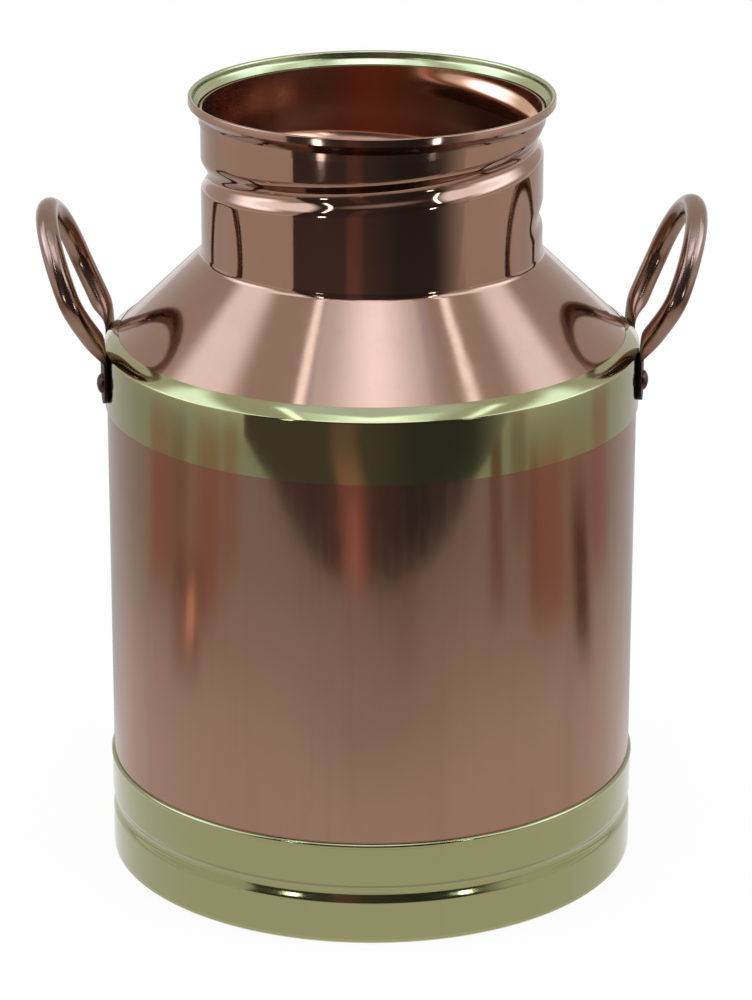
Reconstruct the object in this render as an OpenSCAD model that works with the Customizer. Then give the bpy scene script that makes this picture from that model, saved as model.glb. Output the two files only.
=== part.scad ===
// Copper and brass milk jug, open mouth, two fixed loop handles.
// Millimetres, +Z up. The origin is the centre of the foot circle, on the surface it stands on.

/* [Body] */
// Outside diameter of the copper body
body_d = 220; // [200:1:240]
// Height at which the shoulder slope meets the body wall
shoulder_z = 223.2; // [205:0.1:240]
// Thickness of the copper sheet
sheet_t = 0.8; // [0.6:0.1:1]
// Width of the lapped seam inside the body, at the back
seam_w = 8; // [5:1:12]

/* [Base] */
// Height of the brass base band
base_band_h = 44; // [38:1:56]
// Thickness of the brass sheet
brass_t = 0.8; // [0.6:0.1:1]
// Diameter of the rounded hem on the top edge of the base band
base_hem_d = 2.4; // [2:0.1:3]
// Height of the rolled groove above the foot
base_groove_z = 22; // [20:0.5:26]
// Width of the rolled groove
base_groove_w = 9.5; // [8:0.5:11]
// Depth of the rolled groove
base_groove_depth = 1.4; // [0.5:0.1:1.6]
// Height of the bottom disc above the foot
bottom_z = 12; // [8:0.5:13]

/* [Shoulder] */
// Height at which the shoulder slope meets the neck
neck_root_z = 262; // [255:0.5:275]
// Radius of the bend between shoulder and neck
root_bend_r = 4; // [3:0.5:6]
// Height of the shoulder collar that holds the neck
collar_h = 5; // [4:0.5:8]
// Depth of the shoulder skirt inside the body
skirt_h = 19; // [17:0.5:24]
// Height of the straight wall of the brass shoulder band
shoulder_band_h = 25.5; // [24:0.5:30]
// Width of the sloped face of the brass shoulder band
shoulder_face_w = 8; // [5:0.5:12]

/* [Neck] */
// Outside diameter of the neck
neck_d = 140; // [130:1:150]
// Height of the top edge of the neck tube
neck_top_z = 322.6; // [318:0.1:330]
// Pitch of the rolled thread
thread_pitch = 31; // [28:0.5:33]
// Height of the thread groove at the right of the jug
thread_start_z = 279.5; // [277:0.5:282]
// Depth of the thread groove
thread_depth = 2.8; // [2:0.1:3.2]
// Width of the thread groove
thread_w = 14; // [11:0.5:15]

/* [Mouth] */
// How far the upright lip stands out from the neck
lip_out = 4.9; // [4.5:0.1:6]
// Height of the upright lip
lip_h = 3.2; // [2.5:0.1:5]
// Angle of the flare under the lip, from upright
flare_angle = 44; // [40:1:50]
// Depth of the flare's skirt on the neck tube
flare_skirt_h = 3; // [2:0.5:4]

/* [Handles] */
// Diameter of the handle tube
tube_d = 9; // [8:0.5:10]
// Radius of the handle loop, to the middle of the tube
loop_r = 34; // [32:0.5:38]
// Outward lean of the handle loop
handle_lean = 20; // [15:1:25]
// Height of the lowest round part of the loop
loop_foot_z = 226; // [225:0.5:229]
// Half the distance between the round ends of a loop
loop_foot_half = 26.5; // [25:0.5:28]
// How far the round ends stand out from the body wall
loop_foot_out = 4.2; // [4:0.1:6]
// Turn of the right handle away from straight across
right_turn = 3; // [0:0.5:4]
// Distance of the rivets from the middle of each handle
rivet_half = 22; // [20:0.5:24]
// Width of the flattened tube ends
tab_w = 12; // [10:0.5:14]
// Thickness of the flattened tube ends
tab_t = 2; // [1.6:0.1:2.4]
// Height of the rivets above the foot
rivet_z = 211; // [210:0.5:212]
// Length of tube end below the rivet
tab_below = 8.5; // [7:0.5:10]

/* [Rivets] */
// Diameter of the rivet shank
rivet_d = 4; // [3.5:0.5:5]
// Diameter of the rivet head
rivet_head_d = 8.4; // [7.5:0.1:9]
// Height of the rivet head
rivet_head_h = 2.2; // [1.8:0.1:2.6]
// Diameter of the washer inside the jug
washer_d = 9; // [8:0.5:10]
// Thickness of the washer inside the jug
washer_t = 1; // [0.8:0.1:1.4]

/* [Solder] */
// Leg length of the solder fillets
solder_leg = 2.2; // [1.5:0.1:3]

/* [Hidden] */
$fn = 96;

body_r = body_d / 2;
shell_in = body_r - sheet_t;
flange_in = shell_in - sheet_t;
band_out = body_r + brass_t;

// Shoulder slope: a straight line in the r-z plane, from the body wall to the neck
neck_r = neck_d / 2;
collar_in = neck_r - sheet_t;
slope = (neck_root_z - shoulder_z) / (body_r - neck_r);
slope_a = atan(slope);
sheet_rise = sheet_t / cos(slope_a);
brass_rise = brass_t / cos(slope_a);
function slope_z(r) = shoulder_z + (body_r - r) * slope;

// Bend between shoulder and neck: centre of the arc and the angle it turns through
bend_turn = 90 - slope_a;
bend_x = neck_r + root_bend_r;
bend_z = neck_root_z + root_bend_r * tan(bend_turn / 2);
bend_steps = 8;
collar_top = bend_z + collar_h;
function bend_arc(r, from, to) = [for (i = [0 : bend_steps])
    let (a = 180 + from + (to - from) * i / bend_steps) [bend_x + r * cos(a), bend_z + r * sin(a)]];

// Rolled groove in the base, as the inward shift of a wall at height z
groove_steps = 16;
function groove_in(z) = base_groove_depth * pow(cos(180 * (z - base_groove_z) / base_groove_w), 2);
function groove_wall(r) = [for (i = [0 : groove_steps])
    let (z = base_groove_z + base_groove_w * (i / groove_steps - 0.5)) [r - groove_in(z), z]];
function reversed(p) = [for (i = [len(p) - 1 : -1 : 0]) p[i]];

// Shoulder band
band_low_z = slope_z(band_out) + brass_rise - shoulder_band_h;
face_in = band_out - shoulder_face_w * cos(slope_a);
skirt_low_z = slope_z(shell_in) - skirt_h;
shell_top_z = slope_z(body_r) - sheet_rise;

// Base foot, a hem that holds the wall and the flange of the bottom disc
foot_in = flange_in - brass_t;
foot_hem_h = 5;

// Thread: the fade in and the fade out are angles round the neck, from the right and anticlockwise
fade_in_from = -30;
fade_in_to = 15;
fade_out_from = 395;
fade_out_to = 440;
neck_sides = 48;
thread_rows = 26;
swage_h = 0.8;
neck_low_z = bend_z - 1.2;
grooved_low_z = collar_top + 1.5;
grooved_high_z = neck_top_z - 1.5;
neck_rows = concat([neck_low_z, collar_top - swage_h, collar_top], [for (i = [0 : thread_rows])
    grooved_low_z + (grooved_high_z - grooved_low_z) * i / thread_rows], [neck_top_z]);
function ramp(t) = let (c = min(1, max(0, t))) c * c * (3 - 2 * c);
function fade(a) = ramp((a - fade_in_from) / (fade_in_to - fade_in_from))
    * ramp((fade_out_to - a) / (fade_out_to - fade_out_from));
function groove_at(a, z) = let (d = z - thread_start_z - thread_pitch * a / 360)
    abs(d) < thread_w / 2 ? thread_depth * fade(a) * pow(cos(180 * d / thread_w), 2) : 0;
function thread_in(a, z) = max([for (turn = [-1 : 1]) groove_at(a + 360 * turn, z)]);
function neck_out(a, z) = z < collar_top - swage_h / 2 ? collar_in
    : (z < grooved_low_z || z > grooved_high_z) ? neck_r : neck_r - thread_in(a, z);

// Mouth: flare outer line, from the skirt to the upright lip
lip_r = neck_r + lip_out;
flare_t = 0.7;
flare_out = neck_r + flare_t;
flare_rise = (lip_r - flare_out) / tan(flare_angle);
flare_low_z = neck_top_z - 2.2;
lip_low_z = flare_low_z + flare_rise;
lip_top_z = lip_low_z + lip_h;
flare_shift = flare_t * tan(flare_angle / 2);
ring_gap = 0.9;

// Handles
loop_foot_x = body_r + loop_foot_out;
loop_mid = sqrt(loop_r * loop_r - loop_foot_half * loop_foot_half);
loop_gap = asin(loop_foot_half / loop_r);
tab_face = band_out;
tab_turn = asin(rivet_half / (tab_face + tab_t));
tab_top_z = loop_foot_z - 5;
tab_low_z = rivet_z - tab_below;
tube_in = 0.6;
tube_less = 0.3;
tab_inset = 0.1;

// Rivets
washer_face = sqrt(flange_in * flange_in - washer_d * washer_d / 4);
peen_d = 6.4;
peen_h = 1.2;
dome_steps = 8;

module ring(points) {
    rotate_extrude() polygon(points);
}

// Puts its children at each of the four rivets, with +X along the rivet, outwards
module at_rivets() {
    for (side = [0, 1], foot = [-1, 1])
        rotate([0, 0, 180 * side + (1 - side) * right_turn + foot * tab_turn])
            translate([0, 0, rivet_z])
                children();
}

module rivet_holes() {
    at_rivets()
        translate([washer_face - 4, 0, 0])
            rotate([0, 90, 0])
                cylinder(d = rivet_d, h = 12);
}

// Rolled copper wall with a lapped seam at the back
module body_shell() {
    color("peru")
        difference() {
            union() {
                ring(concat([[body_r, brass_t]], groove_wall(body_r), [[body_r, shell_top_z],
                    [shell_in, shell_top_z]], reversed(groove_wall(shell_in)), [[shell_in, brass_t]]));
                intersection() {
                    ring([[shell_in - sheet_t, base_groove_z + base_groove_w],
                        [shell_in + sheet_t / 2, base_groove_z + base_groove_w],
                        [shell_in + sheet_t / 2, skirt_low_z - 2 * solder_leg],
                        [shell_in - sheet_t, skirt_low_z - 2 * solder_leg]]);
                    translate([-seam_w / 2, 0, 0])
                        cube([seam_w, body_d, shoulder_z]);
                }
            }
            rivet_holes();
        }
}

// Copper bottom with a flange turned down inside the wall
module bottom_disc() {
    color("peru")
        ring([[0, bottom_z], [flange_in - sheet_t, bottom_z], [flange_in, bottom_z - sheet_t],
            [flange_in, brass_t], [shell_in, brass_t], [shell_in, bottom_z],
            [shell_in - sheet_t, bottom_z + sheet_t], [0, bottom_z + sheet_t]]);
}

module bottom_solder() {
    color("silver")
        ring([[shell_in, bottom_z], [shell_in, bottom_z + sheet_t + solder_leg],
            [shell_in - solder_leg * 0.35, bottom_z + sheet_t + solder_leg * 0.4],
            [shell_in - solder_leg - sheet_t, bottom_z + sheet_t], [shell_in - sheet_t, bottom_z + sheet_t]]);
}

// Brass band round the foot: hemmed top edge, rolled groove, foot edge turned up inside
module base_band() {
    color("gold")
        union() {
            ring(concat([[foot_in, 0], [band_out - brass_t, 0], [band_out, brass_t]],
                groove_wall(band_out), [[band_out, base_band_h - base_hem_d / 2],
                [body_r, base_band_h - base_hem_d / 2]], reversed(groove_wall(body_r)),
                [[body_r, brass_t], [flange_in, brass_t], [flange_in, foot_hem_h], [foot_in, foot_hem_h]]));
            rotate_extrude()
                intersection() {
                    translate([band_out - base_hem_d / 3, base_band_h - base_hem_d / 2])
                        circle(d = base_hem_d, $fn = 24);
                    translate([body_r, 0])
                        square([base_hem_d * 2, base_band_h + base_hem_d]);
                }
        }
}

// Brass band round the shoulder: straight wall, then a face lying on the shoulder slope
module shoulder_band() {
    color("gold")
        difference() {
            ring([[body_r, band_low_z], [band_out, band_low_z], [band_out, slope_z(band_out) + brass_rise],
                [face_in, slope_z(face_in) + brass_rise], [face_in, slope_z(face_in)],
                [body_r, slope_z(body_r)]]);
            rivet_holes();
        }
}

// Copper shoulder: skirt inside the body, straight slope, bend, and a collar round the neck
module shoulder_cone() {
    color("peru")
        difference() {
            ring(concat([[flange_in, skirt_low_z], [shell_in, skirt_low_z], [shell_in, shell_top_z],
                [body_r, shell_top_z], [body_r, slope_z(body_r)]],
                reversed(bend_arc(root_bend_r, 0, bend_turn)), [[neck_r, collar_top], [collar_in, collar_top]],
                bend_arc(root_bend_r + sheet_t, 0, bend_turn),
                [[flange_in, slope_z(flange_in) - sheet_rise]]));
            rivet_holes();
        }
}

module shoulder_solder() {
    color("silver")
        ring([[flange_in, skirt_low_z], [shell_in - solder_leg * 0.2, skirt_low_z - solder_leg * 0.45],
            [shell_in, skirt_low_z - solder_leg], [shell_in, skirt_low_z]]);
}

// Copper neck: its low end slips into the collar, and the thread is rolled into the wall
module neck_tube() {
    rows = len(neck_rows);
    function wall(less) = [for (z = neck_rows) for (s = [0 : neck_sides - 1])
        let (a = 360 * s / neck_sides, r = neck_out(a, z) - less) [r * cos(a), r * sin(a), z]];
    function at(skin, row, s) = skin * rows * neck_sides + row * neck_sides + s % neck_sides;
    skins = [for (row = [0 : rows - 2]) for (s = [0 : neck_sides - 1]) each [
        [at(0, row, s), at(0, row + 1, s), at(0, row + 1, s + 1)],
        [at(0, row, s), at(0, row + 1, s + 1), at(0, row, s + 1)],
        [at(1, row, s), at(1, row + 1, s + 1), at(1, row + 1, s)],
        [at(1, row, s), at(1, row, s + 1), at(1, row + 1, s + 1)]]];
    rims = [for (s = [0 : neck_sides - 1]) each [
        [at(0, 0, s), at(0, 0, s + 1), at(1, 0, s + 1)],
        [at(0, 0, s), at(1, 0, s + 1), at(1, 0, s)],
        [at(0, rows - 1, s), at(1, rows - 1, s + 1), at(0, rows - 1, s + 1)],
        [at(0, rows - 1, s), at(1, rows - 1, s), at(1, rows - 1, s + 1)]]];
    color("peru")
        polyhedron(points = concat(wall(0), wall(sheet_t)), faces = concat(skins, rims));
}

// Solder between the low end of the neck tube and the inside of the shoulder bend
module neck_solder() {
    bend = bend_arc(root_bend_r + sheet_t, 0, bend_turn * 0.8);
    under = [for (p = bend) if (p[1] < neck_low_z) p];
    color("silver")
        ring(concat([[collar_in - sheet_t, neck_low_z], [under[0][0] - 0.02, neck_low_z]], under));
}

// Copper flare: skirt round the top of the neck, slope outwards, upright lip
module mouth_flare() {
    color("peru")
        ring([[neck_r, flare_low_z - flare_skirt_h], [flare_out, flare_low_z - flare_skirt_h],
            [flare_out, flare_low_z], [lip_r, lip_low_z], [lip_r, lip_top_z], [lip_r - flare_t, lip_top_z],
            [lip_r - flare_t, lip_low_z + flare_shift], [neck_r, flare_low_z + flare_shift]]);
}

// Brass lining of the flare: upright inside the lip, then a seat sloping down to the neck
module mouth_ring() {
    out = lip_r - flare_t;
    shift = flare_shift * brass_t / flare_t;
    seat_r = neck_r + ring_gap;
    seat_z = flare_low_z + flare_shift + (seat_r - neck_r) / tan(flare_angle);
    color("gold")
        ring([[seat_r, seat_z], [out, lip_low_z + flare_shift], [out, lip_top_z], [out - brass_t, lip_top_z],
            [out - brass_t, lip_low_z + flare_shift + shift], [seat_r, seat_z + brass_t / sin(flare_angle)]]);
}

// One handle on the +X side: a tube bent to a round loop, its ends flattened on the shoulder band
module handle() {
    difference() {
        union() {
            translate([loop_foot_x, 0, loop_foot_z])
                rotate([0, handle_lean, 0])
                    rotate([90, 0, 90])
                        translate([0, loop_mid, 0])
                            rotate([0, 0, loop_gap - 90])
                                rotate_extrude(angle = 360 - 2 * loop_gap)
                                    translate([loop_r, 0])
                                        circle(d = tube_d, $fn = 32);
            for (foot = [-1, 1]) {
                hull() {
                    translate([loop_foot_x, 0, loop_foot_z])
                        rotate([0, handle_lean, 0])
                            rotate([90, 0, 90])
                                translate([0, loop_mid, 0])
                                    rotate([0, 0, foot * loop_gap - 90])
                                        translate([loop_r, 0, 0])
                                            rotate([-90, 0, 0])
                                                translate([0, 0, foot > 0 ? 0 : -tube_in])
                                                    cylinder(d = tube_d - tube_less, h = tube_in, $fn = 32);
                    rotate([0, 0, foot * tab_turn])
                        translate([tab_face + tab_inset, tab_inset - tab_w / 2, tab_top_z - 2 * tube_in])
                            cube([tab_t - 2 * tab_inset, tab_w - 2 * tab_inset, tube_in]);
                }
                rotate([0, 0, foot * tab_turn]) {
                    translate([tab_face, -tab_w / 2, tab_low_z + tab_w / 2])
                        cube([tab_t, tab_w, tab_top_z - tab_low_z - tab_w / 2]);
                    translate([tab_face, 0, tab_low_z + tab_w / 2])
                        rotate([0, 90, 0])
                            cylinder(d = tab_w, h = tab_t);
                }
            }
        }
        for (foot = [-1, 1])
            rotate([0, 0, foot * tab_turn])
                translate([tab_face - 1, 0, rivet_z])
                    rotate([0, 90, 0])
                        cylinder(d = rivet_d, h = tab_t + 2);
    }
}

module handle_left() {
    color("sienna")
        rotate([0, 0, 180])
            handle();
}

module handle_right() {
    color("sienna")
        rotate([0, 0, right_turn])
            handle();
}

// Four rivets: domed head outside, shank through every layer, end peened over the washer
module handle_rivets() {
    head_x = tab_face + tab_t;
    peen_x = washer_face - washer_t;
    dome = [for (i = [0 : dome_steps])
        let (a = 90 * i / dome_steps) [rivet_head_d / 2 * cos(a), head_x + rivet_head_h * sin(a)]];
    peen = [for (i = [0 : dome_steps])
        let (a = 90 * i / dome_steps) [peen_d / 2 * sin(a), peen_x - peen_h * cos(a)]];
    color("saddlebrown")
        at_rivets()
            rotate([0, 90, 0])
                ring(concat(peen, [[rivet_d / 2, peen_x], [rivet_d / 2, head_x]], dome));
}

module rivet_washers() {
    color("silver")
        at_rivets()
            translate([washer_face - washer_t, 0, 0])
                rotate([0, 90, 0])
                    difference() {
                        cylinder(d = washer_d, h = washer_t);
                        translate([0, 0, -1])
                            cylinder(d = rivet_d, h = washer_t + 2);
                    }
}

body_shell();
bottom_disc();
bottom_solder();
base_band();
shoulder_band();
shoulder_cone();
shoulder_solder();
neck_tube();
neck_solder();
mouth_flare();
mouth_ring();
handle_left();
handle_right();
handle_rivets();
rivet_washers();
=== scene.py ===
import math

import bmesh
import bpy
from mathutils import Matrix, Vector


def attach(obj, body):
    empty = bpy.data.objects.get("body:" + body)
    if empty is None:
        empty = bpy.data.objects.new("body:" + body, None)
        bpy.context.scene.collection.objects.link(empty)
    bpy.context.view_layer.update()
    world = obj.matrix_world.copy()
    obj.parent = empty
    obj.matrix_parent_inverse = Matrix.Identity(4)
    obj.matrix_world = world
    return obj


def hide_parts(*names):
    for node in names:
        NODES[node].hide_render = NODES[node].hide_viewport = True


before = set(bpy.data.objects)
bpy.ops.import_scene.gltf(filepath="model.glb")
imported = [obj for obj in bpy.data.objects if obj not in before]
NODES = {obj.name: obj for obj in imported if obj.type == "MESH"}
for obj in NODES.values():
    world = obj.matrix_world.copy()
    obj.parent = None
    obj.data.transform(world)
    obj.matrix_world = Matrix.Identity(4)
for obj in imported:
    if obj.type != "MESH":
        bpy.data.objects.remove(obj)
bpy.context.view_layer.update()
SCENE = bpy.context.scene

MM = 0.001

# Sizes repeated from the part, in mm
BODY_R = 110.0
NECK_R = 70.0
SHEET = 0.8
NECK_LOW = 262.49
COLLAR_TOP = 268.69
NECK_TOP = 322.6
SWAGE = 0.8
GROOVED = (COLLAR_TOP + 1.5, NECK_TOP - 1.5)
PITCH = 31.0
THREAD_START = 279.5
THREAD_DEPTH = 2.8
THREAD_W = 14.0
LIP_R = 74.9
LIP_LOW, LIP_TOP = 324.75, 327.95
LIP_SHEET = 0.7
FLARE_LOW, FLARE_SKIRT = NECK_TOP - 2.2, 3
FLARE_SHIFT = LIP_SHEET * math.tan(math.radians(22))
SEAT_IN, SEAT_LOW, SEAT_TOP, UPRIGHT_LOW = 70.9, 321.62, 322.75, 325.02
BRASS_SHEET = 0.8
BAND_R = BODY_R + BRASS_SHEET
BAND_LOW = 198.04
FACE_IN = 105.06
FACE_IN_Z = 227.97
SHOULDER_Z = 223.2
FOOT_IN, FLANGE_IN, FOOT_TURN = 107.6, 108.4, 5.0
HEM_R, FOOT_BAND_TOP = 1.2, 44.0
FOOT_GROOVE_Z, FOOT_GROOVE_W, FOOT_GROOVE_DEPTH = 22.0, 9.5, 1.4
TUBE_R, LOOP_R, LOOP_LEAN = 4.5, 34.0, math.radians(20)
LOOP_X, LOOP_HALF, LOOP_Z = 114.2, 26.5, 226.0
TAB_HALF_T, TAB_HALF_W, TAB_TOP, TAB_ROUND_Z = 1.0, 6.0, 221.0, 208.5
TAB_R, RIVET_HALF = 111.8, 22
TAB_TURN = math.asin(RIVET_HALF / (TAB_R + TAB_HALF_T))
RIGHT_TURN = math.radians(3)


# Node helpers
class Tree:
    """A material's node tree, with short calls for the nodes used here."""

    def __init__(self, name):
        self.mat = bpy.data.materials.new(name)
        self.mat.use_nodes = True
        self.nodes = self.mat.node_tree.nodes
        self.links = self.mat.node_tree.links
        self.nodes.clear()
        self.out = self.nodes.new("ShaderNodeOutputMaterial")
        self.bsdf = self.nodes.new("ShaderNodeBsdfPrincipled")
        self.links.new(self.bsdf.outputs[0], self.out.inputs[0])
        self.coord = self.nodes.new("ShaderNodeTexCoord").outputs["Object"]

    def feed(self, value, socket):
        """Links another node's output to the socket, or sets the socket to a plain value."""
        if isinstance(value, bpy.types.NodeSocket):
            self.links.new(value, socket)
        else:
            socket.default_value = value

    def math(self, op, a, b=0.0):
        node = self.nodes.new("ShaderNodeMath")
        node.operation = op
        for value, socket in zip((a, b), node.inputs):
            self.feed(value, socket)
        return node.outputs[0]

    def noise(self, cells, detail, rough, distort=0.0, offset=(0, 0, 0)):
        """Cloudy noise from 0 to 1. cells says how many blotches fit in a metre along x, y and z."""
        place = self.nodes.new("ShaderNodeMapping")
        self.links.new(self.coord, place.inputs["Vector"])
        place.inputs["Scale"].default_value = cells
        place.inputs["Location"].default_value = offset
        node = self.nodes.new("ShaderNodeTexNoise")
        self.links.new(place.outputs[0], node.inputs["Vector"])
        node.inputs["Scale"].default_value = 1.0
        node.inputs["Detail"].default_value = detail
        node.inputs["Roughness"].default_value = rough
        node.inputs["Distortion"].default_value = distort
        return node.outputs["Fac"]

    def ramp(self, value, low, high, a=0.0, b=1.0):
        """Goes smoothly from a to b while value goes from low to high, and stays level outside."""
        node = self.nodes.new("ShaderNodeMapRange")
        node.interpolation_type = "SMOOTHSTEP"
        self.feed(value, node.inputs["Value"])
        node.inputs["From Min"].default_value = low
        node.inputs["From Max"].default_value = high
        node.inputs["To Min"].default_value = a
        node.inputs["To Max"].default_value = b
        return node.outputs["Result"]

    def mix(self, fac, a, b):
        """Colour a where fac is 0, colour b where it is 1."""
        node = self.nodes.new("ShaderNodeMix")
        node.data_type = "RGBA"
        self.feed(fac, node.inputs["Factor"])
        for value, socket in ((a, node.inputs[6]), (b, node.inputs[7])):
            self.feed(value if isinstance(value, bpy.types.NodeSocket) else (*value, 1.0), socket)
        return node.outputs[2]

    def bump(self, height, strength, distance, under=None):
        """Relief of distance metres, on top of another bump's relief where under is given."""
        node = self.nodes.new("ShaderNodeBump")
        node.inputs["Strength"].default_value = strength
        node.inputs["Distance"].default_value = distance
        self.links.new(height, node.inputs["Height"])
        if under is not None:
            self.links.new(under, node.inputs["Normal"])
        return node.outputs[0]

    def xyz(self):
        """The place on the object, in metres."""
        node = self.nodes.new("ShaderNodeSeparateXYZ")
        self.links.new(self.coord, node.inputs[0])
        return node.outputs[0], node.outputs[1], node.outputs[2]

    def metal(self, colour, rough, normal):
        """Finishes the material as bare metal."""
        self.links.new(colour, self.bsdf.inputs["Base Color"])
        self.links.new(rough, self.bsdf.inputs["Roughness"])
        self.links.new(normal, self.bsdf.inputs["Normal"])
        self.bsdf.inputs["Metallic"].default_value = 1.0
        return self.mat


INSIDE_ROUGHER = 0.12
# How dark the thin line of painted shade is that sheet_metal draws along one height
EDGE_PAINTED_SHADE = 0.45
POLISHED_FROM = 0.2615  # height, in metres, above which the shoulder is as smooth as the neck


def sheet_metal(name, tones, rough, wave, streak, inside=None, grain=0.0, edge=None, polish=None, coat=0.25):
    """Rolled and polished sheet: cloudy colour, streaks along the height, fine rub marks, soft waves.
    tones are the metal's plain, dark and warm colours, and inside is a brighter, redder colour, painted
    light, for faces that look towards the jug's axis. edge is (height, width), in metres, of a thin dark line
    of painted
    shade. polish is (height, roughness): above that height the sheet is smoother."""
    base, dark, warm = tones
    t = Tree(name)
    x, y, z = t.xyz()
    cloud = t.ramp(t.noise((9, 9, 6), 4.0, 0.55, 0.6), 0.35, 0.7)
    long_streak = t.noise((46, 46, 2.2), 5.0, 0.6)
    fine_streak = t.noise((330, 330, 9), 3.0, 0.6)
    colour = t.mix(cloud, base, warm)
    colour = t.mix(t.ramp(long_streak, 0.48, 0.78, 0.0, streak), colour, dark)
    colour = t.mix(t.ramp(fine_streak, 0.55, 0.8, 0.0, streak * 0.5), colour, dark)
    # Painted shade: a thin dark line along one height, where the foot band's hem meets the copper or in a
    # groove
    if edge:
        off = t.math("ABSOLUTE", t.math("SUBTRACT", z, edge[0]))
        colour = t.mix(t.ramp(off, 0.0, edge[1], EDGE_PAINTED_SHADE, 0.0), colour, [c * 0.25 for c in dark])
    # Painted light: faces towards the jug's axis get a brighter, redder copy of the colour, for light inside
    # the hollow
    if inside:
        face = t.nodes.new("ShaderNodeNewGeometry").outputs["True Normal"]
        split = t.nodes.new("ShaderNodeSeparateXYZ")
        t.links.new(face, split.inputs[0])
        out = t.math("ADD", t.math("MULTIPLY", x, split.outputs[0]), t.math("MULTIPLY", y, split.outputs[1]))
        blotchy_painted_light = t.mix(cloud, inside, [c * 0.8 for c in inside])
        inner = t.ramp(out, -0.002, 0.002, 1.0, 0.0)
        colour = t.mix(inner, colour, blotchy_painted_light)
    smudge = t.noise((22, 22, 14), 5.0, 0.65, 1.2, (3, 1, 2))
    smeared = t.ramp(smudge, 0.3, 0.75, rough * 0.75, rough * 1.3)
    roughness = t.math("ADD", smeared, t.ramp(fine_streak, 0.4, 0.7, 0.0, rough * 0.2))
    if polish:
        above = t.ramp(z, polish[0] - 0.003, polish[0] + 0.003)
        fine = t.math("MULTIPLY", t.ramp(smudge, 0.3, 0.75, polish[1] * 0.8, polish[1] * 1.2), above)
        roughness = t.math("ADD", t.math("MULTIPLY", roughness, t.math("SUBTRACT", 1.0, above)), fine)
    if inside:
        roughness = t.math("ADD", roughness, t.math("MULTIPLY", inner, INSIDE_ROUGHER))
    t.bsdf.inputs["Anisotropic"].default_value = grain
    t.bsdf.inputs["Coat Weight"].default_value = coat
    t.bsdf.inputs["Coat Roughness"].default_value = 0.08
    soft = t.bump(t.noise((13, 13, 7), 2.0, 0.4, offset=(5, 5, 5)), 1.0, wave)
    ribs = t.bump(t.noise((95, 95, 4), 2.0, 0.5), 1.0, wave * 0.05, soft)
    return t.metal(colour, roughness, t.bump(fine_streak, 0.4, 0.000003, ribs))


# Plain, dark and warm tones of each metal
COPPER = ((0.34, 0.197, 0.139), (0.25, 0.13, 0.085), (0.33, 0.185, 0.126))
BRASS_DARK = (0.25, 0.235, 0.095)
BRASS = ((0.335, 0.325, 0.155), BRASS_DARK, (0.34, 0.32, 0.14))
BRASS_FOOT = ((0.3, 0.303, 0.143), BRASS_DARK, (0.305, 0.3, 0.13))
RIM_PLAIN = (0.43, 0.45, 0.25)
BRASS_RIM = (RIM_PLAIN, BRASS_DARK, RIM_PLAIN)
# Painted light: the inside copper, brighter and redder than the outside, so that the hollow looks lit
COPPER_INSIDE_PAINTED_LIGHT = (0.72, 0.41, 0.28)
HANDLE, HANDLE_DARK, HANDLE_BLUSH = (0.3, 0.195, 0.15), (0.25, 0.145, 0.105), (0.2, 0.09, 0.06)
SOOT = (0.018, 0.011, 0.009)
RIVET, RIVET_WORN = (0.035, 0.02, 0.015), (0.13, 0.055, 0.035)
TIN, TIN_STAIN = (0.48, 0.47, 0.45), (0.24, 0.19, 0.13)

# Painted shade: the body's thin dark line just above the foot band's hem
body_copper = sheet_metal("body_copper", COPPER, rough=0.14, wave=0.0005, streak=0.35, inside=COPPER_INSIDE_PAINTED_LIGHT,
    grain=0.6, edge=((FOOT_BAND_TOP + 0.2) * MM, 0.0008), coat=0.1)
shoulder_copper = sheet_metal("shoulder_copper", COPPER, rough=0.085, wave=0.0003, streak=0.2,
    inside=COPPER_INSIDE_PAINTED_LIGHT, grain=0.3, polish=(POLISHED_FROM, 0.06), coat=0.15)
neck_copper = sheet_metal("neck_copper", COPPER, rough=0.06, wave=0.0002, streak=0.12,
    inside=COPPER_INSIDE_PAINTED_LIGHT, coat=0.15)
flare_copper = sheet_metal("flare_copper", COPPER, rough=0.09, wave=0.0002, streak=0.15)
band_brass = sheet_metal("band_brass", BRASS, rough=0.09, wave=0.00025, streak=0.15, grain=0.3, coat=0.5)
# Painted shade: the foot band's thin dark line in the upper side of its groove
foot_brass = sheet_metal("foot_brass", BRASS_FOOT, rough=0.12, wave=0.00025, streak=0.15, grain=0.3,
    edge=((FOOT_GROOVE_Z + 3.2) * MM, 0.001), coat=0.5)
rim_brass = sheet_metal("rim_brass", BRASS_RIM, rough=0.2, wave=0.0002, streak=0.15)


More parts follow.
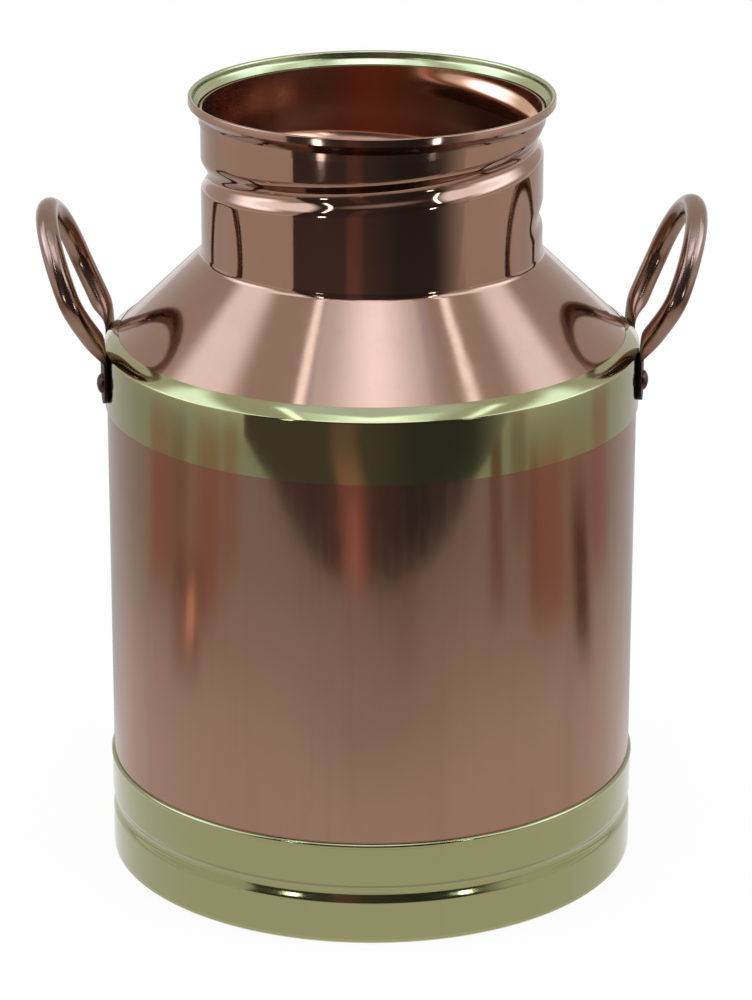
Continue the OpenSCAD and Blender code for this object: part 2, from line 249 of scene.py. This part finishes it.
def handle_metal():
    """Copper tube, polished round the loop, blackened by heat at the flattened ends."""
    t = Tree("handle_copper")
    _, _, z = t.xyz()
    uneven = t.noise((90, 90, 90), 4.0, 0.6)
    level = t.math("ADD", z, t.math("MULTIPLY", t.math("SUBTRACT", uneven, 0.5), 0.012))
    burnt = t.ramp(level, (TAB_TOP - 1.5) * MM, (TAB_TOP + 5.5) * MM, 1.0, 0.0)
    blush = t.ramp(level, (TAB_TOP + 1) * MM, (TAB_TOP + 21) * MM, 0.75, 0.0)
    cloud = t.noise((40, 40, 40), 4.0, 0.6)
    colour = t.mix(t.ramp(cloud, 0.35, 0.7), HANDLE, HANDLE_DARK)
    colour = t.mix(blush, colour, HANDLE_BLUSH)
    colour = t.mix(burnt, colour, SOOT)
    smudge = t.noise((60, 60, 60), 4.0, 0.6, offset=(1, 2, 3))
    rough = t.math("ADD", t.ramp(smudge, 0.3, 0.75, 0.14, 0.24), t.math("MULTIPLY", burnt, 0.25))
    soft = t.bump(t.noise((70, 70, 70), 2.0, 0.5, offset=(4, 4, 4)), 1.0, 0.00012)
    pits = t.bump(t.noise((900, 900, 900), 2.0, 0.5), 0.3, 0.00001, soft)
    return t.metal(colour, rough, pits)


def burnt_copper():
    """Rivets: dark oxide with brighter worn spots."""
    t = Tree("burnt_copper")
    cloud = t.noise((260, 260, 260), 4.0, 0.6)
    colour = t.mix(t.ramp(cloud, 0.4, 0.7), RIVET, RIVET_WORN)
    return t.metal(colour, t.ramp(cloud, 0.3, 0.7, 0.4, 0.2), t.bump(cloud, 0.5, 0.00008))


def tin():
    """Solder, and the tinned washers: dull, with flux stains."""
    t = Tree("tin_solder")
    cloud = t.noise((120, 120, 120), 5.0, 0.6, 0.8)
    colour = t.mix(t.ramp(cloud, 0.45, 0.75), TIN, TIN_STAIN)
    return t.metal(colour, t.ramp(cloud, 0.3, 0.7, 0.32, 0.5), t.bump(cloud, 0.8, 0.0004))


handle_copper = handle_metal()
rivet_dark = burnt_copper()
solder_tin = tin()

LOOKS = {
    "body_shell": body_copper,
    "bottom_disc": shoulder_copper,
    "bottom_solder": solder_tin,
    "base_band": foot_brass,
    "shoulder_band": band_brass,
    "shoulder_cone": shoulder_copper,
    "shoulder_solder": solder_tin,
    "neck_tube": neck_copper,
    "neck_solder": solder_tin,
    "mouth_flare": flare_copper,
    "mouth_ring": rim_brass,
    "handle_left": handle_copper,
    "handle_right": handle_copper,
    "handle_rivets": rivet_dark,
    "rivet_washers": solder_tin,
}
for name, look in LOOKS.items():
    mesh = NODES[name].data
    mesh.materials.clear()
    mesh.materials.append(look)


# Mesh helpers
SIDES = 256  # steps round the axis of every turned piece


def add_piece(name, verts, faces, look, replaces):
    """A piece from points in mm, shown in place of the CAD node that it replaces."""
    mesh = bpy.data.meshes.new(name)
    mesh.from_pydata([(x * MM, y * MM, z * MM) for x, y, z in verts], [], faces)
    mesh.update()
    mesh.materials.append(look)
    bm = bmesh.new()
    bm.from_mesh(mesh)
    bmesh.ops.recalc_face_normals(bm, faces=bm.faces)
    bm.to_mesh(mesh)
    bm.free()
    for p in mesh.polygons:
        p.use_smooth = True
    obj = bpy.data.objects.new(name, mesh)
    SCENE.collection.objects.link(obj)
    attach(obj, "root")
    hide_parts(replaces)
    return obj


# Neck with its rolled thread

# Where the thread starts and ends, and how long each end fades, in degrees along it
THREAD_FROM, THREAD_TO, THREAD_FADE = -30, 440, 45


def smooth(t):
    """An S curve from 0 to 1 while t goes from 0 to 1, and level on both sides."""
    c = min(1.0, max(0.0, t))
    return c * c * (3 - 2 * c)


def fade(a):
    """How deep the thread is at a degrees along it: it runs out at both ends."""
    return smooth((a - THREAD_FROM) / THREAD_FADE) * smooth((THREAD_TO - a) / THREAD_FADE)


def thread_in(a, z):
    """How far the thread pushes the wall inwards, in mm, at a degrees and at the height z."""
    best = 0.0
    for turn in (-1, 0, 1):
        b = a + 360 * turn
        d = z - THREAD_START - PITCH * b / 360
        if abs(d) < THREAD_W / 2:
            best = max(best, THREAD_DEPTH * fade(b) * math.cos(math.pi * d / THREAD_W) ** 2)
    return best


def neck_piece():
    """The neck tube: two skins of rows, each row a ring of points at one height."""
    rows = [(NECK_LOW, "low"), (COLLAR_TOP - SWAGE, "low"), (COLLAR_TOP, "neck")]
    steps = 110
    for i in range(steps + 1):
        rows.append((GROOVED[0] + (GROOVED[1] - GROOVED[0]) * i / steps, "grooved"))
    rows.append((NECK_TOP, "neck"))
    verts, faces = [], []
    for less in (0.0, SHEET):
        for z, kind in rows:
            for s in range(SIDES):
                a = 360 * s / SIDES
                r = NECK_R - SHEET if kind == "low" else NECK_R
                if kind == "grooved":
                    r -= thread_in(a, z)
                r -= less
                verts.append((r * math.cos(math.radians(a)), r * math.sin(math.radians(a)), z))
    n = len(rows)

    def at(skin, row, s):
        return skin * n * SIDES + row * SIDES + s % SIDES

    for row in range(n - 1):
        for s in range(SIDES):
            faces.append((at(0, row, s), at(0, row, s + 1), at(0, row + 1, s + 1), at(0, row + 1, s)))
            faces.append((at(1, row, s), at(1, row + 1, s), at(1, row + 1, s + 1), at(1, row, s + 1)))
    for s in range(SIDES):
        faces.append((at(0, 0, s), at(1, 0, s), at(1, 0, s + 1), at(0, 0, s + 1)))
        faces.append((at(0, n - 1, s), at(0, n - 1, s + 1), at(1, n - 1, s + 1), at(1, n - 1, s)))
    obj = add_piece("neck_rolled", verts, faces, neck_copper, "neck_tube")
    sharp = {0, 1, 2, n - 1}
    mesh = obj.data
    for e in mesh.edges:
        a, b = e.vertices
        row_a, row_b = (a // SIDES) % n, (b // SIDES) % n
        if (row_a == row_b and row_a in sharp) or a // (SIDES * n) != b // (SIDES * n):
            e.use_edge_sharp = True


neck_piece()


# Turned pieces
def turned(name, outline, look, replaces):
    """A closed outline of (radius, height) points, in mm, turned round the axis. Corners over 35 degrees
    stay sharp."""
    n = len(outline)
    verts = [(r * math.cos(2 * math.pi * s / SIDES), r * math.sin(2 * math.pi * s / SIDES), z)
        for s in range(SIDES) for r, z in outline]
    faces = [(s * n + i, s * n + (i + 1) % n, (s + 1) % SIDES * n + (i + 1) % n, (s + 1) % SIDES * n + i)
        for s in range(SIDES) for i in range(n)]
    obj = add_piece(name, verts, faces, look, replaces)
    corners = set()
    for i in range(n):
        before, here, after = (Vector(outline[k % n]) for k in (i - 1, i, i + 1))
        if (here - before).angle(after - here) > math.radians(35):
            corners.add(i)
    for e in obj.data.edges:
        a, b = e.vertices
        if a % n == b % n and a % n in corners:
            e.use_edge_sharp = True


def arc(cx, cz, r, a0, a1, steps):
    """Points on a circle of radius r about (cx, cz), from a0 to a1 degrees."""
    return [(cx + r * math.cos(math.radians(a0 + (a1 - a0) * i / steps)),
        cz + r * math.sin(math.radians(a0 + (a1 - a0) * i / steps))) for i in range(steps + 1)]


def mouth_ring():
    """Brass lining of the mouth: a seat, and an upright whose top edge is rolled inwards."""
    out = LIP_R - LIP_SHEET
    roll = 1.1
    bend = [(73.12, 325.9), (72.9, 325.1), (72.5, 324.5)]
    outline = [(SEAT_IN, SEAT_LOW), (out, UPRIGHT_LOW)] + arc(out, LIP_TOP - roll, roll, 90, 165, 7)
    outline += bend + [(SEAT_IN, SEAT_TOP)]
    turned("mouth_ring_rolled", outline, rim_brass, "mouth_ring")


def mouth_flare():
    """Copper flare and lip, the lip's top edge rounded outwards."""
    inside = LIP_R - LIP_SHEET
    outline = [(NECK_R, FLARE_LOW - FLARE_SKIRT), (NECK_R + LIP_SHEET, FLARE_LOW - FLARE_SKIRT),
        (NECK_R + LIP_SHEET, FLARE_LOW), (LIP_R, LIP_LOW)]
    outline += arc(LIP_R - LIP_SHEET, LIP_TOP - LIP_SHEET, LIP_SHEET, 0, 90, 6)
    outline += [(inside, LIP_LOW + FLARE_SHIFT), (NECK_R, FLARE_LOW + FLARE_SHIFT)]
    turned("mouth_flare_rolled", outline, flare_copper, "mouth_flare")


def shoulder_band():
    """Brass band round the shoulder: an upright wall, a tight fold and a face that curves a little, so that
    only its inner edge touches the copper."""
    fold, face_r, turn, face_a = 1.0, 29.0, 44, 58
    fold_r, fold_z = BAND_R - fold, SHOULDER_Z - 0.1
    apart = face_r - fold
    face = (fold_r - apart * math.cos(math.radians(turn)), fold_z - apart * math.sin(math.radians(turn)))
    outline = [(BODY_R, BAND_LOW), (BAND_R, BAND_LOW)]
    outline += arc(fold_r, fold_z, fold, 0, turn, 6) + arc(*face, face_r, turn, face_a, 10)[1:]
    outline += [(FACE_IN, FACE_IN_Z), (BODY_R, SHOULDER_Z)]
    turned("shoulder_band_folded", outline, band_brass, "shoulder_band")


def base_band():
    """Brass band round the foot: edge turned up inside, rolled groove, and a round hem along the top."""
    def wall(r):
        steps = 24
        rows = [FOOT_GROOVE_Z + FOOT_GROOVE_W * (i / steps - 0.5) for i in range(steps + 1)]
        return [(r - FOOT_GROOVE_DEPTH * math.cos(math.pi * (z - FOOT_GROOVE_Z) / FOOT_GROOVE_W) ** 2, z)
            for z in rows]

    hem_r, hem_z = BAND_R - HEM_R * 2 / 3, FOOT_BAND_TOP - HEM_R
    outline = [(FOOT_IN, 0), (BODY_R, 0), (BAND_R, BRASS_SHEET)] + wall(BAND_R)
    outline += arc(hem_r, hem_z, HEM_R, -48, 90, 14) + [(BODY_R, hem_z)] + wall(BODY_R)[::-1]
    outline += [(BODY_R, BRASS_SHEET), (FLANGE_IN, BRASS_SHEET), (FLANGE_IN, FOOT_TURN), (FOOT_IN, FOOT_TURN)]
    turned("base_band_rolled", outline, foot_brass, "base_band")


mouth_ring()
mouth_flare()
shoulder_band()
base_band()


# Handles
LEAVE_ANGLE = 8  # degrees above the loop's widest place, where the leg leaves the circle
LEAVE_PULL, TAB_PULL = 11, 5  # how far, in mm, the leg keeps the direction of each of its ends
PRESSED_OVER = 13  # length, in mm, over which the round tube becomes flat


def bent_tube(name, turn, replaces):
    """A handle: a tube, round along its loop and pressed flat towards both ends, which are rounded off."""
    gap = math.asin(LOOP_HALF / LOOP_R)
    middle = LOOP_R * math.cos(gap)
    across = Vector((math.cos(LOOP_LEAN), 0, -math.sin(LOOP_LEAN)))
    flat = Vector((math.cos(TAB_TURN), math.sin(TAB_TURN), 0))
    side = Vector((-math.sin(TAB_TURN), math.cos(TAB_TURN), 0))
    rise = Vector((0, 0, 1))

    def on_loop(a):
        up = middle + LOOP_R * math.sin(a)
        return Vector((LOOP_X + up * math.sin(LOOP_LEAN), LOOP_R * math.cos(a),
            LOOP_Z + up * math.cos(LOOP_LEAN)))

    def outwards(a):
        return Vector((math.sin(a) * math.sin(LOOP_LEAN), math.cos(a), math.sin(a) * math.cos(LOOP_LEAN)))

    rows = []
    for q in (88, 75, 60, 45, 30, 15, 0):
        z = TAB_ROUND_Z - TAB_HALF_W * math.sin(math.radians(q))
        half_w = TAB_HALF_W * math.cos(math.radians(q))
        rows.append((flat * TAB_R + Vector((0, 0, z)), flat, side, half_w, 1.0))
    leave_at = math.radians(LEAVE_ANGLE)
    foot, tab = on_loop(leave_at), flat * TAB_R + Vector((0, 0, TAB_TOP))
    leave = outwards(leave_at - math.pi / 2)
    bends = 20
    points = []
    for i in range(bends + 1):
        u = 1 - i / bends
        points.append(foot * (1 - u) ** 3 + (foot + leave * LEAVE_PULL) * 3 * u * (1 - u) ** 2
            + (tab + rise * TAB_PULL) * 3 * u * u * (1 - u) + tab * u ** 3)
    steps = 44
    angles = [leave_at + (math.pi / 2 - leave_at) * i / steps for i in range(1, steps + 1)]
    points += [on_loop(a) for a in angles]
    ways = [outwards(0)] * (bends + 1) + [outwards(a) for a in angles]
    gone = 0.0
    for i, (point, way) in enumerate(zip(points, ways)):
        gone += (point - points[i - 1]).length if i else 0.0
        tangent = (points[min(i + 1, len(points) - 1)] - points[max(i - 1, 0)]).normalized()
        pressed = 1 - smooth(gone / PRESSED_OVER)
        thin = across.lerp(flat, pressed)
        thin = (thin - tangent * thin.dot(tangent)).normalized()
        wide = tangent.cross(thin)
        wide = wide if wide.dot(way) > 0 else -wide
        rows.append((point, thin, wide, TUBE_R + (TAB_HALF_W - TUBE_R) * pressed, pressed))
    around = 36
    halves = []
    for mirror in (1, -1):
        half = []
        for point, thin, wide, half_w, pressed in rows:
            half_t = TUBE_R + (TAB_HALF_T - TUBE_R) * pressed
            power = 2 / (2 + 3 * pressed)
            loop = []
            for k in range(around):
                c, d = math.cos(2 * math.pi * k / around), math.sin(2 * math.pi * k / around)
                p = point + wide * math.copysign(abs(c) ** power, c) * half_w
                p = p + thin * math.copysign(abs(d) ** power, d) * half_t
                x, y = p.x, p.y * mirror
                loop.append((x * math.cos(turn) - y * math.sin(turn),
                    x * math.sin(turn) + y * math.cos(turn), p.z))
            half.append(loop)
        halves.append(half)
    loops = halves[0] + halves[1][-2::-1]
    verts = [p for loop in loops for p in loop]
    faces = [(i * around + k, i * around + (k + 1) % around, (i + 1) * around + (k + 1) % around,
        (i + 1) * around + k) for i in range(len(loops) - 1) for k in range(around)]
    faces += [tuple(range(around)), tuple(range(len(verts) - around, len(verts)))]
    add_piece(name, verts, faces, handle_copper, replaces)


bent_tube("handle_left_bent", math.pi, "handle_left")
bent_tube("handle_right_bent", RIGHT_TURN, "handle_right")


# Studio
def area(name, place, aim, size, radiance, colour=(1, 1, 1)):
    """A rectangular lamp turned towards aim. Its power grows with its size, and radiance is how bright it
    looks."""
    data = bpy.data.lights.new(name, "AREA")
    data.shape = "RECTANGLE"
    data.size, data.size_y = size
    data.energy = radiance * math.pi * size[0] * size[1]
    data.color = colour
    obj = bpy.data.objects.new(name, data)
    obj.location = place
    obj.rotation_euler = (Vector(aim) - Vector(place)).to_track_quat("-Z", "Y").to_euler()
    obj.visible_camera = False
    SCENE.collection.objects.link(obj)
    return obj


# The three main lamps aim at the shoulder. Their places are in steps of LAMP_FAR metres from it.
SHOULDER = Vector((0, 0, 0.24))
LAMP_FAR = 1.9
LAMPS = (
    ("lamp_top", (0, -0.5, 0.87), (0.8, 0.8), 2.2),
    ("lamp_left", (-0.86, -0.15, 0.49), (0.8, 0.6), 2.0),
    ("lamp_right", (0.86, -0.15, 0.49), (0.8, 0.6), 2.0),
)
for name, place, size, radiance in LAMPS:
    area(name, SHOULDER + Vector(place) * LAMP_FAR, SHOULDER, size, radiance).visible_glossy = False

# A tall strip and a low lamp on each side, for the small highlights on the bands
COOL = (0.85, 1.0, 1.1)
for name, x in (("left", -0.37), ("right", 0.47)):
    area("strip_" + name, (x, -0.5, 0.77), (0, 0, 0.3), (0.03, 0.26), 8.0, COOL)
    area("foot_lamp_" + name, (x * 0.83, -0.5, 0.22), (0, 0, 0.02), (0.045, 0.08), 11.0, COOL)

world = bpy.data.worlds.new("studio")
world.use_nodes = True
SCENE.world = world
world_nodes = world.node_tree.nodes
world_nodes.clear()
white = world_nodes.new("ShaderNodeBackground")
white.inputs[0].default_value = (1, 1, 1, 1)
white.inputs[1].default_value = 1.0
world.node_tree.links.new(white.outputs[0], world_nodes.new("ShaderNodeOutputWorld").inputs[0])


def stage_mesh(name, corners, faces, look):
    """An object of the studio, from corners in metres."""
    mesh = bpy.data.meshes.new(name)
    mesh.from_pydata(corners, [], faces)
    mesh.update()
    mesh.materials.append(look)
    obj = bpy.data.objects.new(name, mesh)
    SCENE.collection.objects.link(obj)
    return obj


def plane(name, corners, look):
    return stage_mesh(name, corners, [tuple(range(len(corners)))], look)


def floor_look():
    """Pale paper that looks nearly white to the camera and in the metal, and still takes the shadow."""
    t = Tree("floor_paper")
    grain = t.noise((240, 240, 240), 3.0, 0.6)
    t.links.new(t.mix(grain, (0.9, 0.9, 0.9), (0.93, 0.93, 0.93)), t.bsdf.inputs["Base Color"])
    t.bsdf.inputs["Roughness"].default_value = 0.9
    t.bsdf.inputs["Specular IOR Level"].default_value = 0.0
    light = t.nodes.new("ShaderNodeLightPath")
    fac = t.math("MAXIMUM", t.math("MAXIMUM", light.outputs["Is Camera Ray"], light.outputs["Is Glossy Ray"]),
        light.outputs["Is Transmission Ray"])
    glow = t.nodes.new("ShaderNodeEmission")
    glow.inputs[0].default_value = (1, 1, 1, 1)
    glow.inputs[1].default_value = 1.0
    both = t.nodes.new("ShaderNodeMixShader")
    t.links.new(t.math("MULTIPLY", fac, 0.9), both.inputs[0])
    t.links.new(t.bsdf.outputs[0], both.inputs[1])
    t.links.new(glow.outputs[0], both.inputs[2])
    t.links.new(both.outputs[0], t.out.inputs[0])
    return t.mat


plane("floor", [(-8, -8, 0), (8, -8, 0), (8, 8, 0), (-8, 8, 0)], floor_look())

ONE_RADIAN = math.degrees(1)


def polar(t):
    """Degrees round the jug, 0 at the front and positive to the right, and metres from its axis."""
    x, y, _ = t.xyz()
    az = t.math("MULTIPLY", t.math("ARCTAN2", x, t.math("MULTIPLY", y, -1.0)), ONE_RADIAN)
    return az, t.math("SQRT", t.math("ADD", t.math("MULTIPLY", x, x), t.math("MULTIPLY", y, y)))


def box(t, a, a0, a1, b, b0, b1, soft_a, soft_b):
    """1 where a is between a0 and a1 and b between b0 and b1, with soft edges, and 0 elsewhere."""
    def span(v, low, high, soft):
        rise = t.ramp(v, low - soft, low + soft)
        return t.math("MULTIPLY", rise, t.ramp(v, high - soft, high + soft, 1.0, 0.0))

    return t.math("MULTIPLY", span(a, a0, a1, soft_a), span(b, b0, b1, soft_b))


def glowing(t, colour):
    """Finishes the material as a surface that shines in its colour and takes no light itself."""
    glow = t.nodes.new("ShaderNodeEmission")
    t.feed(colour, glow.inputs[0])
    t.links.new(glow.outputs[0], t.out.inputs[0])
    return t.mat


PALE_WALL = (0.8, 0.77, 0.74)
ROOM_LEFT, ROOM_RIGHT, ROOM_FAR = (0.125, 0.1, 0.098), (0.055, 0.06, 0.06), (0.015, 0.015, 0.016)
STRIPE_NEAR, STRIPE_FAR, STRIPE_CORE = (0.46, 0.24, 0.19), (0.27, 0.155, 0.14), (1.1, 0.55, 0.52)


def dark_room():
    """The unlit room in front of the table: darker further off and to the right, one warm stripe with a
    bright core, and paler again past the right-hand end."""
    t = Tree("dark_room")
    az, r = polar(t)
    colour = t.mix(t.ramp(az, -4, 22), ROOM_LEFT, ROOM_RIGHT)
    lean = t.math("ADD", az, t.ramp(r, 0.5, 0.85, -5.0, 0.0))
    stripe = t.math("MULTIPLY", t.ramp(lean, -18, -14), t.ramp(lean, -9, -3, 1.0, 0.0))
    colour = t.mix(stripe, colour, t.mix(t.ramp(r, 0.65, 0.85), STRIPE_NEAR, STRIPE_FAR))
    colour = t.mix(box(t, lean, -12.3, -9.7, r, 0.48, 0.62, 1.0, 0.04), colour, STRIPE_CORE)
    colour = t.mix(t.ramp(r, 0.85, 1.3, 0.0, 0.35), colour, ROOM_FAR)
    return glowing(t, t.mix(t.ramp(az, 38, 74), colour, PALE_WALL))


CLOTH_NEAR, CLOTH_NEAR_BACK = (0.87, 0.86, 0.85), (0.6, 0.59, 0.58)
CLOTH_FAR, CLOTH_FAR_BACK, CLOTH_FRONT = (0.52, 0.52, 0.5), (0.62, 0.61, 0.6), (0.4, 0.38, 0.37)
BROWN, RED_BROWN, DARK_BROWN = (0.24, 0.12, 0.075), (0.5, 0.285, 0.235), (0.17, 0.09, 0.055)
BROWN_SIDES, EMBER = (0.56, 0.4, 0.3), (2.2, 1.4, 1.0)
# Brown boards beside the table: direction and half width in degrees, how strongly they show, where they
# start and end in metres from the jug's axis, and their colour
BOARDS = (
    (-95, 9, 0.8, 0.44, 0.8, RED_BROWN),
    (-84, 6, 0.45, 0.42, 0.8, BROWN),
    (-68, 7.5, 0.85, 0.43, 0.8, RED_BROWN),
    (-57.5, 4.5, 0.75, 0.51, 0.84, RED_BROWN),
    (13, 6, 0.25, 0.4, 0.74, BROWN),
    (50, 3.5, 0.9, 0.46, 0.95, BROWN),
    (75, 10, 0.9, 0.42, 0.72, RED_BROWN),
    (60, 5, 0.5, 0.56, 0.95, BROWN),
    (67, 3, 0.5, 0.42, 0.74, BROWN),
    (93, 6.5, 1.0, 0.35, 0.58, DARK_BROWN),
    (107, 8, 0.8, 0.45, 0.84, RED_BROWN),
)


def table_shade():
    """What the polished walls show of the table: pale beside the jug, greyer further out, brown boards at the
    sides, and one small warm lamp low on the left."""
    t = Tree("table_shade")
    az, r = polar(t)
    side = t.math("ABSOLUTE", az)

    # Cloth: pale near the jug, greyer further out and at the back, and as pale as a wall at its rim
    back = t.ramp(side, 105, 135)
    near = t.mix(t.ramp(side, 112, 145), CLOTH_NEAR, CLOTH_NEAR_BACK)
    colour = t.mix(t.ramp(r, 0.2, 0.56), near, t.mix(back, CLOTH_FAR, CLOTH_FAR_BACK))
    front = t.math("MULTIPLY", t.ramp(side, 0, 45, 1.0, 0.0), t.ramp(r, 0.16, 0.34, 0.0, 0.3))
    colour = t.mix(front, colour, CLOTH_FRONT)
    rim = t.math("MULTIPLY", t.ramp(r, 0.78, 0.95), t.ramp(back, 0.0, 1.0, 1.0, 0.3))
    colour = t.mix(rim, colour, PALE_WALL)

    # Brown haze and boards on both sides
    sides = t.math("MULTIPLY", box(t, side, 60, 104, r, 0.42, 0.74, 8, 0.06), 0.5)
    colour = t.mix(sides, colour, BROWN_SIDES)
    for middle, half, strength, start, end, brown in BOARDS:
        first, last = t.ramp(r, start - 0.05, start + 0.05), t.ramp(r, end - 0.1, end + 0.1, 1.0, 0.0)
        off = t.math("ABSOLUTE", t.math("SUBTRACT", az, middle))
        shown = t.ramp(off, half * 0.4, half, strength, 0.0)
        board = t.math("MULTIPLY", shown, t.math("MULTIPLY", first, last))
        colour = t.mix(board, colour, brown)

    # The small warm lamp in its dark place
    low = t.math("MULTIPLY", box(t, az, -84, -70, r, 0.35, 0.5, 2.5, 0.04), 0.6)
    colour = t.mix(low, colour, BROWN)
    colour = t.mix(box(t, az, -76.8, -74.3, r, 0.385, 0.46, 0.8, 0.03), colour, EMBER)
    return glowing(t, colour)


TENT_R = 3.2
TENT_CLOTH, TENT_BACK, TENT_OPEN = (0.79, 0.78, 0.77), (0.73, 0.71, 0.68), (0.07, 0.055, 0.05)
PANEL, PANEL_LOW, REAR_GLOW = (2.1, 2.5, 2.95), (3.3, 4.1, 5.2), (1.05, 1.15, 1.5)
LAMP_ENDS, LAMP_MIDDLE, LAMP_FRONT = (1.35, 1.6, 1.85), (2.7, 3.3, 3.95), (2.4, 2.5, 3.5)
BAR = (2.9, 3.5, 4.0)
BAR_PLACES = ((-0.348, -0.183), (0.475, -0.11))


def tent_look():
    """The light tent over the table, as seen from the jug: pale cloth with an opening at the front, a lamp
    overhead with a bar on either side of it, and a long panel of light in each side wall. az and el are
    degrees round the jug and up from its shoulder, dx and dy are shares of the tent's radius from above."""
    t = Tree("light_tent")
    x, y, z = t.xyz()
    az, flat = polar(t)
    el = t.math("MULTIPLY", t.math("ARCTAN2", t.math("SUBTRACT", z, SHOULDER.z), flat), ONE_RADIAN)
    dx, dy = t.math("DIVIDE", x, TENT_R), t.math("DIVIDE", y, TENT_R)
    side = t.math("ABSOLUTE", az)

    # Cloth, and the opening at the front
    rear_cloth = t.math("MULTIPLY", t.ramp(side, 112, 140), t.ramp(el, 40, 25))
    colour = t.mix(rear_cloth, TENT_CLOTH, TENT_BACK)
    opening = t.math("MULTIPLY", t.ramp(az, -53, -50), t.ramp(az, 44, 60, 1.0, 0.0))
    colour = t.mix(t.math("MULTIPLY", opening, t.ramp(el, 44, 50, 1.0, 0.0)), colour, TENT_OPEN)

    # A long panel in each side wall, and a brighter one low in it
    slant = t.math("SUBTRACT", side, t.math("MULTIPLY", t.math("SUBTRACT", el, 36), 0.9))
    over = t.math("ADD", el, t.math("MULTIPLY", az, 0.012))
    panel = t.math("MULTIPLY", box(t, side, 50, 150, over, 30, 50.5, 5, 4), t.ramp(slant, 107, 122, 1.0, 0.0))
    colour = t.mix(panel, colour, PANEL)
    colour = t.mix(box(t, side, 74, 112, el, 16, 31, 12, 7), colour, PANEL_LOW)

    # Overhead: a glow at the rear, the lamp with its slanting rear edge, and a bar on either side
    colour = t.mix(box(t, dx, -0.35, 0.35, dy, -0.3, 0.12, 0.06, 0.06), colour, REAR_GLOW)
    rear = t.math("SUBTRACT", dy, t.math("MULTIPLY", t.math("ABSOLUTE", dx), 0.5))
    middle = t.ramp(t.math("ABSOLUTE", t.math("SUBTRACT", dx, 0.02)), 0.0, 0.3, 1.0, 0.0)
    shine = t.mix(middle, LAMP_ENDS, LAMP_MIDDLE)
    shine = t.mix(t.ramp(dy, -0.37, -0.32, 1.0, 0.0), shine, LAMP_FRONT)
    colour = t.mix(box(t, dx, -0.3, 0.3, rear, -0.6, -0.245, 0.015, 0.02), colour, shine)
    for bar_x, bar_y in BAR_PLACES:
        bar = box(t, dx, bar_x - 0.022, bar_x + 0.022, dy, bar_y - 0.2, bar_y + 0.2, 0.012, 0.05)
        colour = t.mix(bar, colour, BAR)
    return glowing(t, colour)


def light_tent():
    """A dome over the table, seen from inside."""
    rings, sides = 24, 64
    corners, faces = [], []
    for i in range(rings + 1):
        e = math.pi / 2 * i / rings
        for s in range(sides):
            a = 2 * math.pi * s / sides
            corners.append((TENT_R * math.cos(e) * math.cos(a), TENT_R * math.cos(e) * math.sin(a),
                SHOULDER.z + TENT_R * math.sin(e)))
    for i in range(rings):
        for s in range(sides):
            faces.append((i * sides + s, i * sides + (s + 1) % sides, (i + 1) * sides + (s + 1) % sides,
                (i + 1) * sides + s))
    return stage_mesh("light_tent", corners, faces, tent_look())


def only_reflected(obj):
    """Only mirror-like surfaces see the object: not the camera, and it lights and shades nothing else."""
    obj.visible_camera = False
    obj.visible_diffuse = False
    obj.visible_shadow = False
    obj.visible_transmission = False


# Out of the picture, as round any polished object in a studio: the tent and cloths that its reflections show.
TABLE, TABLE_Z = 1.6, 0.002
only_reflected(plane("table_shade", [(-TABLE, -TABLE, TABLE_Z), (TABLE, -TABLE, TABLE_Z),
    (TABLE, TABLE, TABLE_Z), (-TABLE, TABLE, TABLE_Z)], table_shade()))
only_reflected(light_tent())

# The room starts at the table's edge. Its left side runs straight away from the neck's front, so that its
# edge shows there as one upright line.
EDGE_LEFT, EDGE_RIGHT, NECK_FRONT = (-0.63, -0.5), (0.95, -0.5), (-0.03, -0.063)
FAR_Y, FAR_RIGHT_X, ROOM_Z, ROOM_TOP = -2.4, 5.6, 0.004, 3.1
FARTHER = (FAR_Y - NECK_FRONT[1]) / (EDGE_LEFT[1] - NECK_FRONT[1])
FAR_LEFT_X = NECK_FRONT[0] + FARTHER * (EDGE_LEFT[0] - NECK_FRONT[0])
room_look = dark_room()
only_reflected(plane("room_floor", [(*EDGE_LEFT, ROOM_Z), (*EDGE_RIGHT, ROOM_Z), (FAR_RIGHT_X, FAR_Y, ROOM_Z),
    (FAR_LEFT_X, FAR_Y, ROOM_Z)], room_look))
only_reflected(plane("room_back", [(FAR_LEFT_X, FAR_Y, 0.0), (FAR_RIGHT_X, FAR_Y, 0.0),
    (FAR_RIGHT_X, FAR_Y, ROOM_TOP), (FAR_LEFT_X, FAR_Y, ROOM_TOP)], room_look))

# The camera, fitted to the circles of the jug in the photo
CAM_PLACE, CAM_TILT, CAM_ROLL, CAM_LENS = (0.0010, -1.6250, 0.7329), math.radians(70.343), -0.0014, 147.78
cam_data = bpy.data.cameras.new("camera")
cam_data.lens = CAM_LENS
cam_data.sensor_width = 36
cam_data.clip_start, cam_data.clip_end = 0.01, 50
cam = bpy.data.objects.new("camera", cam_data)
cam.location = CAM_PLACE
cam.rotation_euler = (CAM_TILT, CAM_ROLL, 0)
SCENE.collection.objects.link(cam)
SCENE.camera = cam
SCENE.view_settings.view_transform = "Standard"
